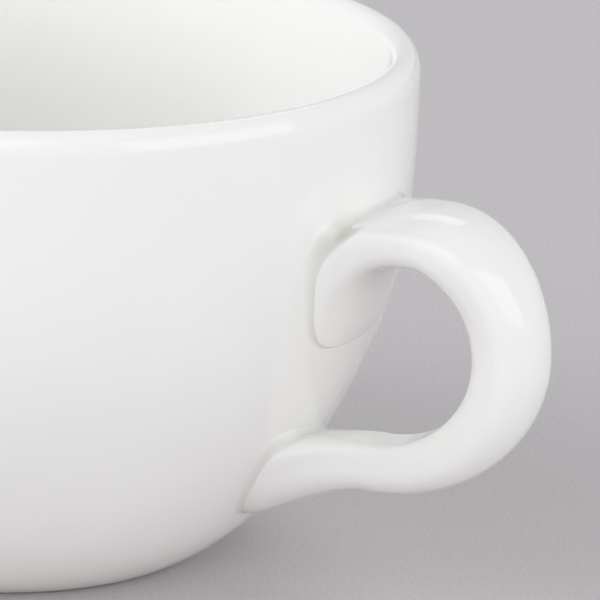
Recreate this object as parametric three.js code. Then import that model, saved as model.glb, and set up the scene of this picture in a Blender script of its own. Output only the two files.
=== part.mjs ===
// Espresso cup: a porcelain bowl on a low foot ring, with a ring handle seated on two pads of slip.
// Millimetres, +Z up. The bowl's axis is Z, the cup stands on z = 0 and the handle points along +X.
import * as THREE from "three";

// Bowl
const RIM_RADIUS = 35;
const CUP_HEIGHT = 44;
const LIP_THICKNESS = 2.5;
const LIP_CREST = 1.3; // how far the lip's top lies inside the rim
const LIP_RISE = 2.1; // height of the lip's rounding, outside and inside
const LIP_RISE_INSIDE = 1.3;
const INSIDE_LEAN = 9; // degrees, of the inner wall below the lip
const BELLY_HEIGHT = 13.9; // where the round bottom turns into the wall
const BELLY_INSET = 5.3; // how far the belly lies inside the rim
const BELLY_LEAN = 26.5; // degrees from upright
const BELLY_PULL_DOWN = 7.1; // lengths of the curve handles of the outline
const BELLY_PULL_UP = 9.8;
const RIM_PULL = 13.5;
const FOOT_PULL = 5.9;
const WALL_THICKNESS = 3;
const FLOOR_THICKNESS = 3.6;
const WELL_RADIUS = 9; // flat middle of the inside
const WELL_PULL = 8;

// Foot ring
const FOOT_RADIUS = 17.5;
const FOOT_FLARE = 27.5; // degrees, the outline's slope where it leaves the table
const FOOT_WIDTH = 2.6;
const FOOT_RECESS = 1; // hollow under the floor, inside the ring
const FOOT_DRAFT = 0.6; // how far the ring's inner side leans in

// Handle loop: three stations on its centreline, placed from the rim and the table
const CROWN_DROP = 11.65; // crown below the top of the cup
const CROWN_REACH = 5; // stations beyond the rim
const GRIP_REACH = 12.7;
const HEEL_REACH = 0.6;
const HEEL_HEIGHT = 11.8;
const GRIP_LIFT = 0.3; // grip above the middle of the loop
const CROWN_THICKNESS = 4.9;
const CROWN_WIDTH = 11.6;
const GRIP_THICKNESS = 5.75;
const GRIP_WIDTH = 8;
const HEEL_THICKNESS = 4.4;
const HEEL_WIDTH = 6;
const OUTER_POWER = 2.2; // rounding of the bar's outer side, where 2 is an ellipse and more is squarer
const CROWN_FINGER_POWER = 2.8; // rounding of the side that the finger touches
const GRIP_FINGER_POWER = 8;
const HEEL_FINGER_POWER = 8;
const GRIP_NARROWING = 0.4; // share of its width that the bar loses towards the finger
const HEEL_NARROWING = 0.1;

// Flared ends of the handle, as they meet the wall
const UPPER_PAD_WIDTH = 17;
const UPPER_PAD_RISE = 1.5; // top of the pad above the crown's centreline
const UPPER_PAD_TAIL = 0.2; // bottom of the pad above the middle of the loop
const LOWER_PAD_WIDTH = 12.4;
const LOWER_PAD_RISE = 1.85;
const LOWER_PAD_DROP = 5.6;
const PAD_EDGE = 0.32; // rounding of the edge that faces the slip

// Slip between the handle and the wall
const SEAT_GAP = 0.3;
const SLIP_LAYER = 0.3;
const SLIP_BEAD = 1; // width of the bead on the wall
const SLIP_RISE = 0.8; // height of the bead up the handle
const SLIP_EDGE = 0.15; // thickness of the bead's outer edge
const SLIP_THINNING = 0.75; // share of the bead that is missing above and below a pad

// Facets
const BOWL_SIDES = 64;
const CURVE_STEPS = 12;
const LIP_STEPS = 4; // for each half of the lip
const HANDLE_SIDES = 28;
const LOOP_STEPS = 12; // for each half of the loop
const FLARE_STEPS = 8;
const EDGE_STEPS = 2;
const BEAD_STEPS = 4;
const CAP_SHARES = [0.4, 0.75]; // rings that carry a draped end face to its middle

const radians = THREE.MathUtils.degToRad;
const wallTop = CUP_HEIGHT - LIP_RISE;
const bellyRadius = RIM_RADIUS - BELLY_INSET;
const floorHeight = FOOT_RECESS + FLOOR_THICKNESS;
const crownHeight = CUP_HEIGHT - CROWN_DROP;
const loopMiddle = (crownHeight + HEEL_HEIGHT) / 2;
const gripHeight = loopMiddle + GRIP_LIFT;
const seatDepth = SEAT_GAP + SLIP_LAYER + SEAT_GAP;

// The outline is drawn as (radius, height).
const point = (radius, height) => new THREE.Vector2(radius, height);

// A curve from one point to another that leaves and arrives along two directions.
function bend(from, fromAngle, fromPull, to, toAngle, toPull) {
  const leave = point(Math.cos(fromAngle), Math.sin(fromAngle)).multiplyScalar(fromPull);
  const arrive = point(Math.cos(toAngle), Math.sin(toAngle)).multiplyScalar(toPull);
  return new THREE.CubicBezierCurve(from, from.clone().add(leave), to.clone().sub(arrive), to);
}

const upright = Math.PI / 2;
const bellyAngle = upright - radians(BELLY_LEAN);
const belly = point(bellyRadius, BELLY_HEIGHT);
const bellyInside = point(
  bellyRadius - WALL_THICKNESS * Math.sin(bellyAngle),
  BELLY_HEIGHT + WALL_THICKNESS * Math.cos(bellyAngle),
);
const footEdge = point(FOOT_RADIUS, 0);
const wellEdge = point(WELL_RADIUS, floorHeight);
const rimOutside = point(RIM_RADIUS, wallTop);

const outerBottom = bend(footEdge, radians(FOOT_FLARE), FOOT_PULL, belly, bellyAngle, BELLY_PULL_DOWN);
const outerWall = bend(belly, bellyAngle, BELLY_PULL_UP, rimOutside, upright, RIM_PULL);

// The lip is two quarter ellipses that meet at its crest, and the inner one ends where the inner wall leans.
const insideLean = radians(INSIDE_LEAN);
const crestRadius = RIM_RADIUS - LIP_CREST;
const lipOutside = new THREE.EllipseCurve(crestRadius, wallTop, LIP_CREST, LIP_RISE, 0, upright);
const lipInside = new THREE.EllipseCurve(
  crestRadius,
  CUP_HEIGHT - LIP_RISE_INSIDE,
  LIP_THICKNESS - LIP_CREST,
  LIP_RISE_INSIDE,
  upright,
  Math.PI - insideLean,
);
const rimInside = lipInside.getPoint(1);
const innerWall = bend(
  rimInside,
  -upright - insideLean,
  RIM_PULL,
  bellyInside,
  bellyAngle - Math.PI,
  BELLY_PULL_UP,
);
const innerBottom = bend(bellyInside, bellyAngle - Math.PI, BELLY_PULL_DOWN, wellEdge, Math.PI, WELL_PULL);

function cupBody() {
  const ringInside = FOOT_RADIUS - FOOT_WIDTH;
  const outline = [
    point(0, FOOT_RECESS),
    point(ringInside - FOOT_DRAFT, FOOT_RECESS),
    point(ringInside, 0),
    ...outerBottom.getPoints(CURVE_STEPS),
    ...outerWall.getPoints(CURVE_STEPS).slice(1),
    ...lipOutside.getPoints(LIP_STEPS).slice(1),
    ...lipInside.getPoints(LIP_STEPS).slice(1),
    ...innerWall.getPoints(CURVE_STEPS).slice(1),
    ...innerBottom.getPoints(CURVE_STEPS).slice(1),
    point(0, floorHeight),
  ];
  return new THREE.LatheGeometry(outline, BOWL_SIDES).rotateX(upright);
}

// Outer radius of the bowl at a height, found by halving along the outline.
function wallRadius(height) {
  const curve = height < BELLY_HEIGHT ? outerBottom : outerWall;
  let low = 0;
  let high = 1;
  while (high - low > 1e-6) {
    const middle = (low + high) / 2;
    if (curve.getPoint(middle).y < height) low = middle;
    else high = middle;
  }
  return curve.getPoint(low).x;
}

// A point that stands off the wall by a depth, at a height and a sideways distance from the handle's plane.
function offWall(side, height, depth) {
  const radius = wallRadius(height) + depth;
  return new THREE.Vector3(Math.sqrt(radius * radius - side * side), side, height);
}

// A rounded outline of unit size: the first number points out of the loop, the second one sideways.
function lobe(angle, power) {
  const stretch = (value) => Math.sign(value) * Math.abs(value) ** (2 / power);
  return [stretch(Math.cos(angle)), stretch(Math.sin(angle))];
}

// The pads: out is +1 where the outside of the loop is the pad's top and -1 where it is its bottom. The two
// powers round its corners, widening makes it wider towards its top, and gather keeps the two edges of the
// finger's side together as they run out on the wall. The flare leans away from square to the wall, and its
// pulls are its curve handles, as shares of its chord. Three values are for the outside of the loop, the
// sides of the handle and the inside of the loop.
const upperPad = {
  top: crownHeight + UPPER_PAD_RISE,
  bottom: loopMiddle + UPPER_PAD_TAIL,
  width: UPPER_PAD_WIDTH,
  out: 1,
  topPower: 3,
  bottomPower: 3.4,
  widening: 0.15,
  gather: 0,
  lean: [radians(8), radians(74), radians(80)],
  wallPull: [0.45, 0.36, 0.48],
  barPull: 0.56,
};
const lowerPad = {
  top: HEEL_HEIGHT + LOWER_PAD_RISE,
  bottom: HEEL_HEIGHT - LOWER_PAD_DROP,
  width: LOWER_PAD_WIDTH,
  out: -1,
  topPower: 3.2,
  bottomPower: 2.6,
  widening: 0.2,
  gather: radians(20),
  lean: [radians(45), radians(38), radians(35)],
  wallPull: [0.2, 0.16, 0.3],
  barPull: 0.38,
};

// A point on a pad's outline, grown sideways and scaled about the pad's middle, at a depth off the wall.
function padPoint(pad, angle, depth, grow = 0, share = 1) {
  const isTop = Math.cos(angle) * pad.out > 0;
  const isInside = Math.cos(angle) < 0;
  const gathered = isInside ? pad.gather * Math.sin(2 * angle) ** 2 * Math.sign(Math.sin(angle)) : 0;
  const [u, v] = lobe(angle + gathered, isTop ? pad.topPower : pad.bottomPower);
  const up = u * pad.out;
  const height = (pad.top + pad.bottom) / 2 + ((pad.top - pad.bottom) / 2 + grow) * up * share;
  const side = (pad.width / 2 + grow) * v * share * (1 + pad.widening * up);
  return offWall(side, height, depth);
}

const angles = Array.from({ length: HANDLE_SIDES }, (_, i) => (2 * Math.PI * i) / HANDLE_SIDES);
const steps = (count) => Array.from({ length: count + 1 }, (_, i) => i / count);
const padRing = (pad, depth, grow, share) => angles.map((angle) => padPoint(pad, angle, depth, grow, share));
const padMiddle = (pad, depth) => padPoint(pad, 0, depth, 0, 0);
const capRings = (pad, depth) => CAP_SHARES.map((share) => padRing(pad, depth, 0, share));

// A closed solid through rings of points, from a first middle point to a last one.
function loft(first, rings, last) {
  const points = [first, ...rings.flat(), last];
  const sides = rings[0].length;
  const index = [];
  const at = (ring, side) => 1 + ring * sides + (side % sides);
  for (let side = 0; side < sides; side++) {
    index.push(0, at(0, side), at(0, side + 1));
    for (let ring = 0; ring + 1 < rings.length; ring++) {
      index.push(at(ring, side), at(ring + 1, side), at(ring, side + 1));
      index.push(at(ring, side + 1), at(ring + 1, side), at(ring + 1, side + 1));
    }
    index.push(points.length - 1, at(rings.length - 1, side + 1), at(rings.length - 1, side));
  }
  return new THREE.BufferGeometry().setFromPoints(points).setIndex(index);
}

// The centreline, from the crown out to the grip and back in to the heel.
const crownX = RIM_RADIUS + CROWN_REACH;
const gripX = RIM_RADIUS + GRIP_REACH;
const heelX = RIM_RADIUS + HEEL_REACH;
const upperLoop = new THREE.EllipseCurve(
  crownX,
  gripHeight,
  gripX - crownX,
  crownHeight - gripHeight,
  upright,
  0,
  true,
);
const lowerLoop = new THREE.EllipseCurve(
  heelX,
  gripHeight,
  gripX - heelX,
  gripHeight - HEEL_HEIGHT,
  0,
  -upright,
  true,
);

// A cross-section of the bar, square to the centreline.
function barRing(curve, t, thickness, width, fingerPower, narrowing) {
  const middle = curve.getPoint(t);
  const along = curve.getTangent(t);
  return angles.map((angle) => {
    const isFingerSide = Math.cos(angle) < 0;
    const [u, v] = lobe(angle, isFingerSide ? fingerPower : OUTER_POWER);
    const out = (u * thickness) / 2;
    const side = ((v * width) / 2) * (isFingerSide ? 1 - narrowing * u * u : 1);
    return new THREE.Vector3(middle.x - along.y * out, side, middle.y + along.x * out);
  });
}

const ease = (t) => t * t * (3 - 2 * t);
const mix = THREE.MathUtils.lerp;
const upperBar = (t) =>
  barRing(
    upperLoop,
    t,
    mix(CROWN_THICKNESS, GRIP_THICKNESS, ease(t)),
    mix(CROWN_WIDTH, GRIP_WIDTH, ease(t)),
    mix(CROWN_FINGER_POWER, GRIP_FINGER_POWER, ease(t)),
    mix(0, GRIP_NARROWING, ease(t)),
  );
const lowerBar = (t) =>
  barRing(
    lowerLoop,
    t,
    mix(GRIP_THICKNESS, HEEL_THICKNESS, ease(t)),
    mix(GRIP_WIDTH, HEEL_WIDTH, ease(t)),
    mix(GRIP_FINGER_POWER, HEEL_FINGER_POWER, ease(t)),
    mix(GRIP_NARROWING, HEEL_NARROWING, ease(t)),
  );

// The direction square to the wall, out of it, at a point near it.
function wallNormal(place) {
  const small = 0.1;
  const slope = (wallRadius(place.z + small) - wallRadius(place.z - small)) / (2 * small);
  const outward = new THREE.Vector3(place.x, place.y, 0).normalize();
  return outward.sub(new THREE.Vector3(0, 0, slope)).normalize();
}

// A value that turns smoothly from the outside of the loop over the side to the inside.
function around([outside, side, inside], angle) {
  const across = Math.cos(angle);
  return side + ((outside - inside) / 2) * across + ((outside + inside) / 2 - side) * across * across;
}

// The points from the pad's rounded edge up to one point of the bar's end section.
function flareColumn(pad, angle, end) {
  const foot = padPoint(pad, angle, seatDepth);
  const offTheWall = wallNormal(foot);
  const toBar = end.clone().sub(foot);
  const alongTheWall = toBar.addScaledVector(offTheWall, -toBar.dot(offTheWall)).normalize();
  const lean = around(pad.lean, angle);
  const onEdge = (turn) =>
    foot
      .clone()
      .addScaledVector(offTheWall, PAD_EDGE * Math.sin(turn))
      .addScaledVector(alongTheWall, PAD_EDGE * (1 - Math.cos(turn)));
  const start = onEdge(lean);
  const chord = end.distanceTo(start);
  const pull = around(pad.wallPull, angle) * chord;
  const nearWall = start
    .clone()
    .addScaledVector(offTheWall, pull * Math.cos(lean))
    .addScaledVector(alongTheWall, pull * Math.sin(lean));
  const nearBar = end.clone().sub(new THREE.Vector3(pad.barPull * chord, 0, 0));
  const curve = new THREE.CubicBezierCurve3(start, nearWall, nearBar, end);
  return [...steps(EDGE_STEPS).map((t) => onEdge(lean * t)), ...curve.getPoints(FLARE_STEPS).slice(1)];
}

// Rings that spread from the bar's end section on to the pad, nearest the wall first.
function flareRings(pad, barEnd) {
  const columns = angles.map((angle, i) => flareColumn(pad, angle, barEnd[i]));
  return columns[0].map((_, ring) => columns.map((column) => column[ring]));
}

function handle() {
  const crown = upperBar(0);
  const heel = lowerBar(1);
  const rings = [
    ...capRings(upperPad, seatDepth),
    ...flareRings(upperPad, crown),
    ...steps(LOOP_STEPS).slice(1).map(upperBar),
    ...steps(LOOP_STEPS).slice(1, -1).map(lowerBar),
    ...flareRings(lowerPad, heel).reverse(),
    ...capRings(lowerPad, seatDepth).reverse(),
  ];
  return loft(padMiddle(upperPad, seatDepth), rings, padMiddle(lowerPad, seatDepth));
}

// A thin layer under the pad with a hollow bead round it, full at the sides of the pad.
function slipJoint(pad) {
  const beadPoint = (angle, spread, climb) => {
    const fullness = 1 - SLIP_THINNING * Math.cos(angle) ** 4;
    const grow = SEAT_GAP + SLIP_BEAD * fullness * spread;
    return padPoint(pad, angle, SEAT_GAP + SLIP_EDGE + SLIP_RISE * fullness * climb, grow);
  };
  const bead = steps(BEAD_STEPS).map((t) =>
    angles.map((angle) => beadPoint(angle, 1 - Math.sin(t * upright), 1 - Math.cos(t * upright))),
  );
  const wallEdge = bead[0].map((edge) => offWall(edge.y, edge.z, SEAT_GAP));
  const layerTop = SEAT_GAP + SLIP_LAYER;
  const rings = [
    ...capRings(pad, SEAT_GAP),
    wallEdge,
    ...bead,
    padRing(pad, layerTop, SEAT_GAP),
    ...capRings(pad, layerTop).reverse(),
  ];
  const ends = [padMiddle(pad, SEAT_GAP), padMiddle(pad, layerTop)];
  if (pad.out < 0) {
    rings.reverse();
    ends.reverse();
  }
  return loft(ends[0], rings, ends[1]);
}

const cup = new THREE.Group();

function addPiece(name, geometry, material) {
  const mesh = new THREE.Mesh(geometry, material);
  mesh.name = name;
  cup.add(mesh);
}

const glaze = (color, roughness) => new THREE.MeshStandardMaterial({ color, roughness, metalness: 0 });
addPiece("cup_body", cupBody(), glaze(0xf3f2ee, 0.12));
addPiece("handle", handle(), glaze(0xf4f3ef, 0.12));
addPiece("upper_slip_joint", slipJoint(upperPad), glaze(0xe9e7dd, 0.16));
addPiece("lower_slip_joint", slipJoint(lowerPad), glaze(0xe9e7dd, 0.16));

export default cup;
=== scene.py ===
# Espresso cup: fine surface and glaze of the porcelain bowl, its ring handle and the slip that joins them.
# Metres, +Z up. The bowl's axis is Z, the cup stands on z = 0 and the handle points along +X.
import math

import bmesh
import bpy
from mathutils import Matrix, Vector


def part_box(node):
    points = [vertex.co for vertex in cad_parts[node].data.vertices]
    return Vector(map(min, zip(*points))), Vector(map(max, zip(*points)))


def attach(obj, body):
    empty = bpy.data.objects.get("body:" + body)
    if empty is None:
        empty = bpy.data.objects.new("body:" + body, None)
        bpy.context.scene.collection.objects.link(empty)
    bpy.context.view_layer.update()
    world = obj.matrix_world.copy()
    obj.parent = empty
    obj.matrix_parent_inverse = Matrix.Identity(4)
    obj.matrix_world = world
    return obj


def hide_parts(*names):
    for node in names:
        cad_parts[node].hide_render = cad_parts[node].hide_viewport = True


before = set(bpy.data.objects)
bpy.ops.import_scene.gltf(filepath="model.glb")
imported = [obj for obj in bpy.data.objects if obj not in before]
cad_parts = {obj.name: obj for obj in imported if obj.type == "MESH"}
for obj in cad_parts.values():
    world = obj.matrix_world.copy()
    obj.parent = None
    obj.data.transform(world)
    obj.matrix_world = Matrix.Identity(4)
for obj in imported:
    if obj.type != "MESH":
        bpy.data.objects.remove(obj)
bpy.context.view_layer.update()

MM = 0.001
QUARTER_TURN = math.pi / 2
radians = math.radians

# Bowl: the frame gives the rim and the height, and these are the sizes that shape it between them
body_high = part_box("cup_body")[1]
rim_radius = body_high.x
cup_height = body_high.z
LIP_THICKNESS = 2.5 * MM
LIP_CREST = 1.3 * MM  # how far the lip's top lies inside the rim
LIP_RISE = 2.1 * MM  # height of the lip's rounding, outside and inside
LIP_RISE_INSIDE = 1.3 * MM
INSIDE_LEAN = radians(9)  # of the inner wall, below the lip
BELLY_HEIGHT = 13.9 * MM
BELLY_INSET = 5.3 * MM
BELLY_LEAN = radians(26.5)
BELLY_PULL_DOWN = 7.1 * MM
BELLY_PULL_UP = 9.8 * MM
RIM_PULL = 13.5 * MM
FOOT_PULL = 5.9 * MM
WALL_THICKNESS = 3 * MM
FLOOR_THICKNESS = 3.6 * MM
WELL_RADIUS = 9 * MM
WELL_PULL = 8 * MM
FOOT_RADIUS = 17.5 * MM
FOOT_FLARE = radians(27.5)
FOOT_WIDTH = 2.6 * MM
FOOT_RECESS = 1 * MM
FOOT_DRAFT = 0.6 * MM
FOOT_ROUNDING = 0.5 * MM
FOOT_CHORD = 1 / 12  # share of the bottom's curve whose chord the rounding ends on

# Handle: three stations on its centreline, and the two pads where it flares on to the wall
CROWN_DROP = 11.65 * MM
CROWN_REACH = 5 * MM
HEEL_REACH = 0.6 * MM
HEEL_HEIGHT = 11.8 * MM
GRIP_LIFT = 0.3 * MM
OUTER_POWER = 2.2  # rounding of the bar's outer side, where 2 is an ellipse and more is squarer
# A section is the bar's thickness and width, and the rounding and narrowing of its finger side
CROWN_SECTION = (4.9 * MM, 11.6 * MM, 2.8, 0)
GRIP_SECTION = (5.75 * MM, 8 * MM, 8, 0.4)
HEEL_SECTION = (4.4 * MM, 6 * MM, 8, 0.1)
PAD_SINK = 0.2 * MM  # how deep the handle's ends sit in the wall
PAD_EDGE = 0.32 * MM  # rounding of their edge, where it stands on the wall
UPPER_PAD_WIDTH = 17 * MM
UPPER_PAD_RISE = 1.5 * MM
UPPER_PAD_TAIL = 0.2 * MM
LOWER_PAD_WIDTH = 12.4 * MM
LOWER_PAD_RISE = 1.85 * MM
LOWER_PAD_DROP = 5.6 * MM

# Bead of slip and pooled glaze round each pad
CORNER_CLIMB = 0.3 * MM  # further climb at the upper corners of a pad
CORNER_ROLL = 0.3 * MM  # pull of the bead's outer edge there, off the wall
CORNER_POWER = 2.4  # more keeps what the corners add closer to them
BEAD_FAR_SHARE = 0.2  # of the bead's sizes on the +Y side, where less was left
BEAD_EDGE_PULL = 0.35  # pulls of the fillet's curve, as shares of its width and climb
BEAD_FLANK_PULL = 0.6
BEAD_TUCK = 0.1 * MM  # how far its two edges run on under the wall and the handle
BEAD_TUCK_DEPTH = 0.04 * MM
COAT_DEPTH = 0.02 * MM

# Fineness of the meshes
BOWL_SIDES = 288
CURVE_STEPS = 48
LIP_STEPS = 24
EDGE_STEPS = 6
HANDLE_SIDES = 144
LOOP_STEPS = 56
FLARE_STEPS = 44
FLARE_CROWDING = 1.5  # more than 1 sets the flare's points closer together near the wall
BEAD_STEPS = 10
COAT_STEPS = 8
HALVINGS = 30
SLOPE_STEP = 0.1 * MM  # over which the wall's slope is measured, up and down

# Glaze and clay, whose noise has a scale per metre and a level of detail
GLAZE_LIGHT = (0.92, 0.918, 0.882)
GLAZE_DARK = (0.91, 0.908, 0.871)
# The pooled glaze's own olive, made darker still as painted shade in the hollow seams round the pads
GLAZE_POOLED_AND_SHADED = (0.65, 0.648, 0.57)
GLAZE_MOTTLING = (90, 3)
MOTTLING_STOPS = (0.35, 0.65)  # where the noise turns from the dark colour into the light one
GLAZE_UNEVENNESS = (240, 2)
GLAZE_ROUGHNESS = (0.02, 0.05)
GLAZE_IOR = 1.55
GLAZE_LUMPS = (230, 0.25 * MM)  # scale and height
SLIP_LUMPS = (900, 0.2 * MM)
LUMP_DETAIL = 1
LUMP_STRENGTH = 0.2
CLAY_LIGHT = (0.84, 0.82, 0.78)
CLAY_DARK = (0.78, 0.76, 0.715)
CLAY_GRAIN = (2500, 4)
CLAY_ROUGHNESS = 0.75
BARE_HEIGHT = 0.16 * MM  # below it the glaze on the foot ring fades out

# Floor, light and camera
FLOOR_SIZE = 6
FLOOR_COLOUR = (0.61, 0.585, 0.583)
FLOOR_DARKENING = 0.84  # of the colour, in the dark of the grain
FLOOR_GRAIN = (3500, 5)
FLOOR_STOPS = (0.3, 0.65)
FLOOR_ROUGHNESS = 0.7
LIGHT_COLOUR = (0.98, 0.985, 1.028)
LAMP_DISTANCE = 1  # from the middle of the cup
TENT_HORIZON = 0.63  # strengths of the light from all round
TENT_TOP = 0.06
CAMERA_PLACE = Vector((0.220408, -0.405434, 0.152233))
CAMERA_YAW = radians(25.3666)
CAMERA_PITCH = radians(-15.8461)
CAMERA_ROLL = radians(1.9977)
CAMERA_LENS = 335.79  # in millimetres, like the sensor
CAMERA_SENSOR = 36

wall_top = cup_height - LIP_RISE
crest_radius = rim_radius - LIP_CREST
belly_radius = rim_radius - BELLY_INSET
floor_height = FOOT_RECESS + FLOOR_THICKNESS
crown_height = cup_height - CROWN_DROP
loop_middle = (crown_height + HEEL_HEIGHT) / 2
grip_height = loop_middle + GRIP_LIFT
crown_x = rim_radius + CROWN_REACH
grip_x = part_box("handle")[1].x - GRIP_SECTION[0] / 2
heel_x = rim_radius + HEEL_REACH
cup_middle = Vector((0, 0, cup_height / 2))


def shares(count):
    """Evenly spaced numbers from 0 to 1."""
    return [i / count for i in range(count + 1)]


def ease(t):
    """Turns smoothly from 0 to 1."""
    return t * t * (3 - 2 * t)


def bezier(controls, t):
    """A point on the curve of any degree that these points control."""
    points = list(controls)
    while len(points) > 1:
        points = [a.lerp(b, t) for a, b in zip(points, points[1:])]
    return points[0]


def halve(is_low, low, high):
    """The number between low and high where is_low turns false."""
    for _ in range(HALVINGS):
        middle = (low + high) / 2
        if is_low(middle):
            low = middle
        else:
            high = middle
    return low


def bend(start, start_angle, start_pull, end, end_angle, end_pull):
    """The controls of a curve that leaves one point and reaches another along two directions."""
    leave = Vector((math.cos(start_angle), math.sin(start_angle))) * start_pull
    arrive = Vector((math.cos(end_angle), math.sin(end_angle))) * end_pull
    return [start, start + leave, end - arrive, end]


# Outline of the bowl, as (radius, height)
belly_angle = QUARTER_TURN - BELLY_LEAN
belly = Vector((belly_radius, BELLY_HEIGHT))
belly_inside = belly + Vector((-math.sin(belly_angle), math.cos(belly_angle))) * WALL_THICKNESS
foot_edge = Vector((FOOT_RADIUS, 0))
well_edge = Vector((WELL_RADIUS, floor_height))
rim_outside = Vector((rim_radius, wall_top))
outer_bottom = bend(foot_edge, FOOT_FLARE, FOOT_PULL, belly, belly_angle, BELLY_PULL_DOWN)
outer_wall = bend(belly, belly_angle, BELLY_PULL_UP, rim_outside, QUARTER_TURN, RIM_PULL)


def lip_point(turn):
    """A point on the rounded lip, which is two quarter ellipses that meet at its crest."""
    is_outside = turn < QUARTER_TURN
    reach = LIP_CREST if is_outside else LIP_THICKNESS - LIP_CREST
    rise = LIP_RISE if is_outside else LIP_RISE_INSIDE
    return Vector((crest_radius + reach * math.cos(turn), cup_height + rise * (math.sin(turn) - 1)))


lip_end = math.pi - INSIDE_LEAN
rim_inside = lip_point(lip_end)
inner_wall = bend(
    rim_inside, -QUARTER_TURN - INSIDE_LEAN, RIM_PULL, belly_inside, belly_angle - math.pi, BELLY_PULL_UP
)
inner_bottom = bend(belly_inside, belly_angle - math.pi, BELLY_PULL_DOWN, well_edge, math.pi, WELL_PULL)


def curve_points(controls):
    return [bezier(controls, t) for t in shares(CURVE_STEPS)]


def rounded(before, corner, after, size):
    """The points of a corner that is rounded off between its two neighbours."""
    start = corner + (before - corner).normalized() * size
    end = corner + (after - corner).normalized() * size
    return [bezier([start, corner, end], t) for t in shares(EDGE_STEPS)]


def bowl_outline():
    """From the recess under the floor, round the foot ring and up over the lip to the well inside."""
    ring_inside = FOOT_RADIUS - FOOT_WIDTH
    recess_middle = Vector((0, FOOT_RECESS))
    recess_edge = Vector((ring_inside - FOOT_DRAFT, FOOT_RECESS))
    ring_edge = Vector((ring_inside, 0))
    foot = rounded(ring_edge, foot_edge, bezier(outer_bottom, FOOT_CHORD), FOOT_ROUNDING)
    return [
        *rounded(recess_middle, recess_edge, ring_edge, FOOT_ROUNDING),
        *rounded(recess_edge, ring_edge, foot_edge, FOOT_ROUNDING),
        *foot,
        *[p for p in curve_points(outer_bottom) if p.x > foot[-1].x],
        *curve_points(outer_wall)[1:],
        *[lip_point(lip_end * t) for t in shares(LIP_STEPS)[1:]],
        *curve_points(inner_wall)[1:],
        *curve_points(inner_bottom)[1:],
    ]


def wall_radius(height):
    """Outer radius of the bowl at a height."""
    curve = outer_bottom if height < BELLY_HEIGHT else outer_wall
    return bezier(curve, halve(lambda t: bezier(curve, t).y < height, 0, 1)).x


def off_wall(side, height, depth):
    """A point that stands off the wall by a depth, at a distance to the side of the handle's plane."""
    radius = wall_radius(height) + depth
    return Vector((math.sqrt(radius * radius - side * side), side, height))


def wall_normal(point):
    """The direction square to the wall, out of it, at a point near it."""
    slope = (wall_radius(point.z + SLOPE_STEP) - wall_radius(point.z - SLOPE_STEP)) / (2 * SLOPE_STEP)
    outward = Vector((point.x, point.y, 0)).normalized()
    return (outward - Vector((0, 0, slope))).normalized()


def lobe(angle, power):
    """A rounded outline of unit size: the first number points out of the loop, the second one sideways."""
    return [math.copysign(abs(value) ** (2 / power), value) for value in (math.cos(angle), math.sin(angle))]


# The pads: three values are for the outside of the loop, the sides of the handle and the inside of the loop
upper_pad = {
    "top": crown_height + UPPER_PAD_RISE,
    "bottom": loop_middle + UPPER_PAD_TAIL,
    "width": UPPER_PAD_WIDTH,
    "out": 1,  # 1 where the outside of the loop is the pad's top, -1 where it is its bottom
    "top_power": 3,  # rounding of its corners
    "bottom_power": 3.4,
    "widening": 0.15,  # towards its top
    "skew": 0,  # slope of its top to one side, as the potter's hand left it
    "gather": 0,  # of the two edges of the finger's side, as they run out on the wall
    "lean": (radians(8), radians(74), radians(80)),  # of the flare, away from square to the wall
    "wall_pull": (0.45, 0.36, 0.48),  # pulls of the flare's curve, as shares of its chord
    "bar_pull": 0.56,
    "bead_width": (1.5 * MM, 0.9 * MM, 0.12 * MM),  # on the wall
    "bead_climb": (1.3 * MM, 0.3 * MM, 0.1 * MM),  # up the handle
    "bead_tint_and_shade": (0, 0.5, 0.4),  # share of the pooled glaze's colour, which also paints the shade in the seam
    "corner_tint_and_shade": 1,  # the same at the pad's upper corners
    "corner_coat": 2 * MM,  # how far the glaze runs on up the handle there
}
lower_pad = {
    "top": HEEL_HEIGHT + LOWER_PAD_RISE,
    "bottom": HEEL_HEIGHT - LOWER_PAD_DROP,
    "width": LOWER_PAD_WIDTH,
    "out": -1,
    "top_power": 3.2,
    "bottom_power": 2.6,
    "widening": 0.2,
    "skew": -0.17,
    "gather": radians(20),
    "lean": (radians(45), radians(38), radians(35)),
    "wall_pull": (0.2, 0.16, 0.3),
    "bar_pull": 0.38,
    "bead_width": (0.12 * MM, 1 * MM, 0.7 * MM),
    "bead_climb": (0.1 * MM, 0.35 * MM, 0.6 * MM),
    "bead_tint_and_shade": (0.4, 0.5, 0.3),
    "corner_tint_and_shade": 0.4,
    "corner_coat": 0.6 * MM,
}
angles = [2 * math.pi * i / HANDLE_SIDES for i in range(HANDLE_SIDES)]


def around(values, angle):
    """A value that turns smoothly from the outside of the loop over the side to the inside."""
    outside, side, inside = values
    across = math.cos(angle)
    return side + (outside - inside) / 2 * across + ((outside + inside) / 2 - side) * across * across


def corner_share(pad, angle):
    """1 in the middle of the upper corners of a pad, and 0 away from them."""
    return abs(math.sin(2 * angle)) ** CORNER_POWER if math.cos(angle) * pad["out"] > 0 else 0


def pad_point(pad, angle, depth, grow=0):
    """A point on a pad's outline, grown outwards, at a depth off the wall."""
    is_top = math.cos(angle) * pad["out"] > 0
    if math.cos(angle) < 0:
        angle += pad["gather"] * math.sin(2 * angle) ** 2 * math.copysign(1, math.sin(angle))
    u, v = lobe(angle, pad["top_power"] if is_top else pad["bottom_power"])
    up = u * pad["out"]
    height = (pad["top"] + pad["bottom"]) / 2 + ((pad["top"] - pad["bottom"]) / 2 + grow) * up
    side = (pad["width"] / 2 + grow) * v * (1 + pad["widening"] * up)
    return off_wall(side, height + pad["skew"] * side * (1 + up) / 2, depth)


def sunk_ring(pad):
    """The edge of a pad's hidden face in the wall."""
    return [pad_point(pad, angle, -PAD_SINK) for angle in angles]


def sunk_middle(pad):
    """The middle of that face."""
    return pad_point(pad, QUARTER_TURN, -PAD_SINK, -pad["width"] / 2)


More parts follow.
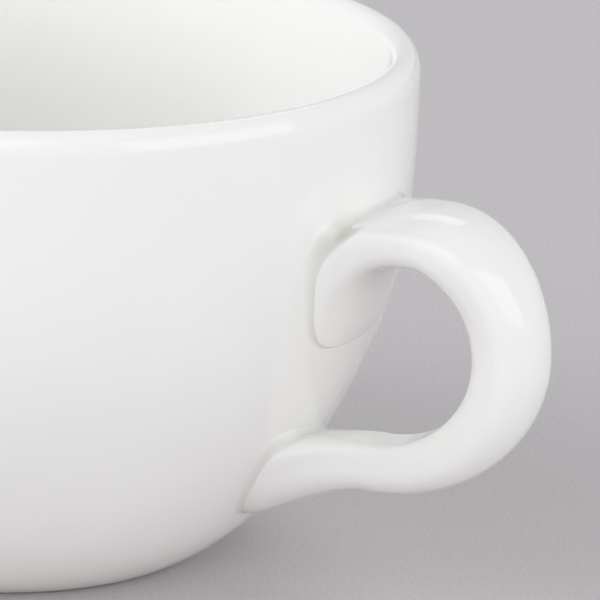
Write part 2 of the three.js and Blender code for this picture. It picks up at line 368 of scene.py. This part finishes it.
def bar_ring(inner_x, end_height, turn, section):
    """A cross-section of the bar, square to a quarter ellipse that meets the grip at no turn."""
    reach = grip_x - inner_x
    climb = abs(end_height - grip_height)
    x = inner_x + reach * math.cos(turn)
    z = grip_height + climb * math.sin(turn)
    along = Vector((reach * math.sin(turn), -climb * math.cos(turn))).normalized()
    thickness, width, finger_power, narrowing = section
    ring = []
    for angle in angles:
        is_finger_side = math.cos(angle) < 0
        u, v = lobe(angle, finger_power if is_finger_side else OUTER_POWER)
        out = u * thickness / 2
        side = v * width / 2 * (1 - narrowing * u * u if is_finger_side else 1)
        ring.append(Vector((x - along.y * out, side, z + along.x * out)))
    return ring


def section_between(one, other, t):
    return [a + (b - a) * ease(t) for a, b in zip(one, other)]


def upper_bar(t):
    """From the crown at 0 to the grip at 1."""
    section = section_between(CROWN_SECTION, GRIP_SECTION, t)
    return bar_ring(crown_x, crown_height, QUARTER_TURN * (1 - t), section)


def lower_bar(t):
    """From the grip at 0 to the heel at 1."""
    section = section_between(GRIP_SECTION, HEEL_SECTION, t)
    return bar_ring(heel_x, HEEL_HEIGHT, -QUARTER_TURN * t, section)


def flare_columns(pad, bar_end):
    """For each point of the bar's end section, the points from the pad's rounded edge up to it."""
    columns = []
    for angle, end in zip(angles, bar_end):
        foot = pad_point(pad, angle, 0)
        off_the_wall = wall_normal(foot)
        to_bar = end - foot
        along_the_wall = (to_bar - off_the_wall * to_bar.dot(off_the_wall)).normalized()
        lean = around(pad["lean"], angle)
        edge = [
            foot + off_the_wall * PAD_EDGE * math.sin(turn) + along_the_wall * PAD_EDGE * (1 - math.cos(turn))
            for turn in [lean * t for t in shares(EDGE_STEPS)]
        ]
        start = edge[-1]
        chord = (end - start).length
        rise = off_the_wall * math.cos(lean) + along_the_wall * math.sin(lean)
        near_wall = start + rise * around(pad["wall_pull"], angle) * chord
        near_bar = end - Vector((pad["bar_pull"] * chord, 0, 0))
        curve = [start, near_wall, near_bar, end]
        flare = [bezier(curve, t ** FLARE_CROWDING) for t in shares(FLARE_STEPS)[1:]]
        columns.append([*edge, *flare])
    return columns


upper_flare = flare_columns(upper_pad, upper_bar(0))
lower_flare = flare_columns(lower_pad, lower_bar(1))


def rings_of(columns):
    """The rings through columns of points, in the order of each column."""
    return [list(ring) for ring in zip(*columns)]


def handle_rings():
    """From the upper pad round the loop to the lower one."""
    return [
        sunk_ring(upper_pad),
        *rings_of(upper_flare),
        *[upper_bar(t) for t in shares(LOOP_STEPS)[1:]],
        *[lower_bar(t) for t in shares(LOOP_STEPS)[1:-1]],
        *reversed(rings_of(lower_flare)),
        sunk_ring(lower_pad),
    ]


def bead_size(pad, angle):
    """Width, climb, coat and roll of the bead. The upper corners of a pad add to its climb, and only they
    have a coat and a roll."""
    corner = corner_share(pad, angle)
    side_share = BEAD_FAR_SHARE + (1 - BEAD_FAR_SHARE) * ease((1 - math.sin(angle)) / 2)
    climb = around(pad["bead_climb"], angle) + CORNER_CLIMB * corner
    sizes = (around(pad["bead_width"], angle), climb, pad["corner_coat"] * corner, CORNER_ROLL * corner)
    return [side_share * size for size in sizes]


def walk(points, distance):
    """The place at a distance along a row of points, and the direction there."""
    for here, following in zip(points, points[1:]):
        step = following - here
        if step.length >= distance:
            break
        distance -= step.length
    return here + step.normalized() * distance, step.normalized()


def over_flank(column, distance, outward, height):
    """A point that stands off the handle's flank by a height, at a distance up it from the wall."""
    place, upward = walk(column, distance)
    return place + (outward - upward * outward.dot(upward)).normalized() * height


def bead_rings(pad, columns):
    """A closed band: a hollow fillet from the wall to the handle, whose outer edge rolls off the wall at the
    upper corners, a thin coat on up the handle's flank, and back through the hidden seam."""
    bands = []
    for angle, column in zip(angles, columns):
        width, climb, coat_length, roll = bead_size(pad, angle)
        edge = pad_point(pad, angle, 0, width)
        inward = (column[0] - edge).normalized()
        square_to_wall = wall_normal(edge)
        outward = square_to_wall - inward
        flank = over_flank(column, climb, outward, COAT_DEPTH)
        upward = walk(column, climb)[1]
        near_edge = edge + inward * BEAD_EDGE_PULL * width + square_to_wall * roll
        near_flank = flank - upward * BEAD_FLANK_PULL * climb
        fillet = [bezier([edge, near_edge, near_flank, flank], t) for t in shares(BEAD_STEPS)]
        coat = [
            over_flank(column, climb + coat_length * t, outward, COAT_DEPTH * (1 - t))
            for t in shares(COAT_STEPS)[1:]
        ]
        under_wall = edge - inward * BEAD_TUCK - square_to_wall * BEAD_TUCK_DEPTH
        under_flank = over_flank(column, climb + coat_length + BEAD_TUCK, outward, -BEAD_TUCK_DEPTH)
        seam = pad_point(pad, angle, -PAD_SINK)
        bands.append([under_wall, *fillet, *coat, under_flank, seam])
    return rings_of(bands)


def mark_pooled_and_shaded(mesh, pad):
    """Marks how thick the glaze lies on a bead, which also sets the painted shade in its hollow seam: not at
    all at its edges, and most where the fillet ends.
    """
    attribute = mesh.attributes.new("pool_and_shade", "FLOAT", "POINT")
    pool_and_shade_depths = [
        *[math.sin(QUARTER_TURN * t) for t in shares(BEAD_STEPS)],
        *[math.cos(QUARTER_TURN * t) for t in shares(COAT_STEPS)[1:]],
    ]
    for ring, depth in enumerate(pool_and_shade_depths, start=1):
        for i, angle in enumerate(angles):
            tint_and_shade = around(pad["bead_tint_and_shade"], angle)
            share = tint_and_shade + (pad["corner_tint_and_shade"] - tint_and_shade) * corner_share(pad, angle)
            attribute.data[ring * HANDLE_SIDES + i].value = depth * share


def circle_of(point):
    """A circle about the axis through a point of the outline."""
    turns = [2 * math.pi * i / BOWL_SIDES for i in range(BOWL_SIDES)]
    return [Vector((point.x * math.cos(a), point.x * math.sin(a), point.y)) for a in turns]


def skin(name, rings, first=None, last=None):
    """A closed mesh through rings of points. It ends at two middle points, or is a band whose hidden last
    ring joins its first one."""
    mesh = bpy.data.meshes.new(name)
    bm = bmesh.new()
    rows = [[bm.verts.new(p) for p in ring] for ring in rings]
    joins = [(row, following, True) for row, following in zip(rows, rows[1:])]
    if first is None:
        joins[-1] = (rows[-2], rows[-1], False)
        joins.append((rows[-1], rows[0], False))
    for row, following, is_smooth in joins:
        for i in range(len(row)):
            face = bm.faces.new((row[i - 1], row[i], following[i], following[i - 1]))
            face.smooth = is_smooth
    for middle, row in ((first, rows[0]), (last, rows[-1])):
        if middle is not None:
            centre = bm.verts.new(middle)
            for i in range(len(row)):
                bm.faces.new((row[i - 1], row[i], centre))
    bmesh.ops.recalc_face_normals(bm, faces=bm.faces)
    bm.to_mesh(mesh)
    bm.free()
    return mesh


# Materials


def add(tree, kind, **inputs):
    """A shader node with its plain input values."""
    made = tree.nodes.new(kind)
    for name, value in inputs.items():
        made.inputs[name.replace("_", " ")].default_value = value
    return made


def noise(tree, place, scale, detail):
    made = add(tree, "ShaderNodeTexNoise", Scale=scale, Detail=detail)
    tree.links.new(place, made.inputs["Vector"])
    return made.outputs["Fac"]


def ramp(tree, factor, stops, colours):
    """Turns from one colour into another between two stops along a factor."""
    made = tree.nodes.new("ShaderNodeValToRGB")
    for element, place, colour in zip(made.color_ramp.elements, stops, colours):
        element.position = place
        element.color = (*colour, 1)
    tree.links.new(factor, made.inputs["Fac"])
    return made.outputs["Color"]


def ranged(tree, factor, low, high, start=0, end=1):
    """Turns from low to high as a factor goes from its start to its end."""
    made = add(tree, "ShaderNodeMapRange", From_Min=start, From_Max=end, To_Min=low, To_Max=high)
    tree.links.new(factor, made.inputs["Value"])
    return made.outputs["Result"]


def height_of(tree, place):
    """The Z of a place or a direction."""
    split = tree.nodes.new("ShaderNodeSeparateXYZ")
    tree.links.new(place, split.inputs["Vector"])
    return split.outputs["Z"]


def blend(tree, factor, kind, one, other):
    """Turns from one colour or number into another along a factor. Each is a value or another node's."""
    made = tree.nodes.new("ShaderNodeMix")
    made.data_type = kind
    tree.links.new(factor, made.inputs["Factor"])
    for name, value in (("A", one), ("B", other)):
        socket = [s for s in made.inputs if s.name == name and s.enabled][0]
        if isinstance(value, bpy.types.NodeSocket):
            tree.links.new(value, socket)
        else:
            socket.default_value = value
    return [s for s in made.outputs if s.enabled][0]


def new_material(name):
    material = bpy.data.materials.new(name)
    material.use_nodes = True
    tree = material.node_tree
    shader = tree.nodes["Principled BSDF"]
    place = tree.nodes.new("ShaderNodeTexCoord").outputs["Object"]
    return material, tree, shader, place


def glaze(name, lumps=GLAZE_LUMPS, is_pooled_and_shaded=False, is_bare_below=False):
    """Clear gloss glaze over white clay: faint mottling, a slightly uneven gloss and a soft waviness. It may
    be tinted darker where it has pooled, a tint that also paints the shade in the seams, and left off where
    the cup stands."""
    material, tree, shader, place = new_material(name)
    colour = ramp(tree, noise(tree, place, *GLAZE_MOTTLING), MOTTLING_STOPS, (GLAZE_DARK, GLAZE_LIGHT))
    roughness = ranged(tree, noise(tree, place, *GLAZE_UNEVENNESS), *GLAZE_ROUGHNESS)
    if is_pooled_and_shaded:
        pool_and_shade_node = tree.nodes.new("ShaderNodeAttribute")
        pool_and_shade_node.attribute_name = "pool_and_shade"
        # Painted shade: the pooled tint also darkens the seams where shade falls
        colour = blend(tree, pool_and_shade_node.outputs["Fac"], "RGBA", colour, (*GLAZE_POOLED_AND_SHADED, 1))
    if is_bare_below:
        bare = ranged(tree, height_of(tree, place), 1, 0, BARE_HEIGHT / 2, BARE_HEIGHT)
        clay = ramp(tree, noise(tree, place, *CLAY_GRAIN), MOTTLING_STOPS, (CLAY_DARK, CLAY_LIGHT))
        colour = blend(tree, bare, "RGBA", colour, clay)
        roughness = blend(tree, bare, "FLOAT", roughness, CLAY_ROUGHNESS)
    lump_scale, lump_height = lumps
    bump = add(tree, "ShaderNodeBump", Strength=LUMP_STRENGTH, Distance=lump_height)
    tree.links.new(noise(tree, place, lump_scale, LUMP_DETAIL), bump.inputs["Height"])
    tree.links.new(colour, shader.inputs["Base Color"])
    tree.links.new(roughness, shader.inputs["Roughness"])
    tree.links.new(bump.outputs["Normal"], shader.inputs["Normal"])
    shader.inputs["IOR"].default_value = GLAZE_IOR
    return material


body_glaze = glaze("body_glaze", is_bare_below=True)
handle_glaze = glaze("handle_glaze")
slip_glaze = glaze("slip_glaze", lumps=SLIP_LUMPS, is_pooled_and_shaded=True)


# Pieces


def place_piece(mesh, node, material):
    """A piece that stands for a CAD node and moves with the only body."""
    mesh.materials.append(material)
    piece = bpy.data.objects.new(mesh.name, mesh)
    bpy.context.scene.collection.objects.link(piece)
    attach(piece, "root")
    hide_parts(node)


def make_bowl():
    circles = [circle_of(p) for p in bowl_outline()]
    bowl = skin("porcelain_bowl", circles, Vector((0, 0, FOOT_RECESS)), Vector((0, 0, floor_height)))
    place_piece(bowl, "cup_body", body_glaze)


def make_handle():
    handle = skin("ring_handle", handle_rings(), sunk_middle(upper_pad), sunk_middle(lower_pad))
    place_piece(handle, "handle", handle_glaze)


def make_bead(name, node, pad, flare):
    bead = skin(name, bead_rings(pad, flare))
    mark_pooled_and_shaded(bead, pad)
    place_piece(bead, node, slip_glaze)


make_bowl()
make_handle()
make_bead("upper_slip_bead", "upper_slip_joint", upper_pad, upper_flare)
make_bead("lower_slip_bead", "lower_slip_joint", lower_pad, lower_flare)


# Studio


def make_floor():
    """Pale paper with a fine grain."""
    material, tree, shader, place = new_material("floor_paper")
    darker = [FLOOR_DARKENING * value for value in FLOOR_COLOUR]
    colour = ramp(tree, noise(tree, place, *FLOOR_GRAIN), FLOOR_STOPS, (darker, FLOOR_COLOUR))
    tree.links.new(colour, shader.inputs["Base Color"])
    shader.inputs["Roughness"].default_value = FLOOR_ROUGHNESS
    half = FLOOR_SIZE / 2
    corners = [(-half, -half, 0), (half, -half, 0), (half, half, 0), (-half, half, 0)]
    mesh = bpy.data.meshes.new("floor")
    mesh.from_pydata(corners, [], [(0, 1, 2, 3)])
    mesh.materials.append(material)
    floor = bpy.data.objects.new("floor", mesh)
    bpy.context.scene.collection.objects.link(floor)


def softbox(name, azimuth, elevation, size, radiance, is_mirrored=True):
    """A lamp that faces the cup and may show in its gloss. Azimuth 0 is on the -Y side, 90 on the +X side."""
    flat = math.cos(elevation)
    towards = Vector((math.sin(azimuth) * flat, -math.cos(azimuth) * flat, math.sin(elevation)))
    light = bpy.data.lights.new(name, "AREA")
    light.shape = "RECTANGLE"
    light.size, light.size_y = size
    light.energy = radiance * math.pi * size[0] * size[1]
    light.color = LIGHT_COLOUR
    lamp = bpy.data.objects.new(name, light)
    lamp.location = cup_middle + towards * LAMP_DISTANCE
    lamp.rotation_euler = towards.to_track_quat("Z", "Y").to_euler()
    lamp.visible_camera = False
    lamp.visible_glossy = is_mirrored
    bpy.context.scene.collection.objects.link(lamp)


def make_world():
    """A light tent, brightest at the horizon and dimmer overhead."""
    world = bpy.data.worlds.new("studio")
    world.use_nodes = True
    tree = world.node_tree
    direction = tree.nodes.new("ShaderNodeTexCoord").outputs["Generated"]
    tent = ranged(tree, height_of(tree, direction), TENT_HORIZON, TENT_TOP)
    background = tree.nodes["Background"]
    tree.links.new(tent, background.inputs["Strength"])
    background.inputs["Color"].default_value = (*LIGHT_COLOUR, 1)
    bpy.context.scene.world = world


def make_camera():
    """It looks down on the cup from beside its handle."""
    camera_data = bpy.data.cameras.new("camera")
    camera_data.lens = CAMERA_LENS
    camera_data.sensor_width = CAMERA_SENSOR
    camera = bpy.data.objects.new("camera", camera_data)
    camera.matrix_world = (
        Matrix.Translation(CAMERA_PLACE)
        @ Matrix.Rotation(CAMERA_YAW, 4, "Z")
        @ Matrix.Rotation(QUARTER_TURN + CAMERA_PITCH, 4, "X")
        @ Matrix.Rotation(CAMERA_ROLL, 4, "Z")
    )
    bpy.context.scene.collection.objects.link(camera)
    bpy.context.scene.camera = camera


make_floor()
softbox("right_softbox", radians(87), radians(21), (0.93, 0.57), 1.1)
softbox("left_softbox", radians(-8), radians(47), (1.5, 0.7), 1.1)
softbox("back_softbox", radians(-165), radians(41), (0.45, 0.22), 0.95)
softbox("front_left_fill", radians(-20), radians(8), (1.2, 0.5), 1.4, is_mirrored=False)
softbox("front_right_fill", radians(62), radians(8), (1.2, 0.5), 1.45, is_mirrored=False)
softbox("side_fill", radians(-62), radians(30), (0.9, 0.7), 1.7, is_mirrored=False)
softbox("back_fill", radians(180), radians(55), (1, 0.5), 1.95, is_mirrored=False)
softbox("right_back_fill", radians(132), radians(15), (0.7, 0.5), 1.15, is_mirrored=False)
make_world()
make_camera()
bpy.context.scene.view_settings.view_transform = "Standard"
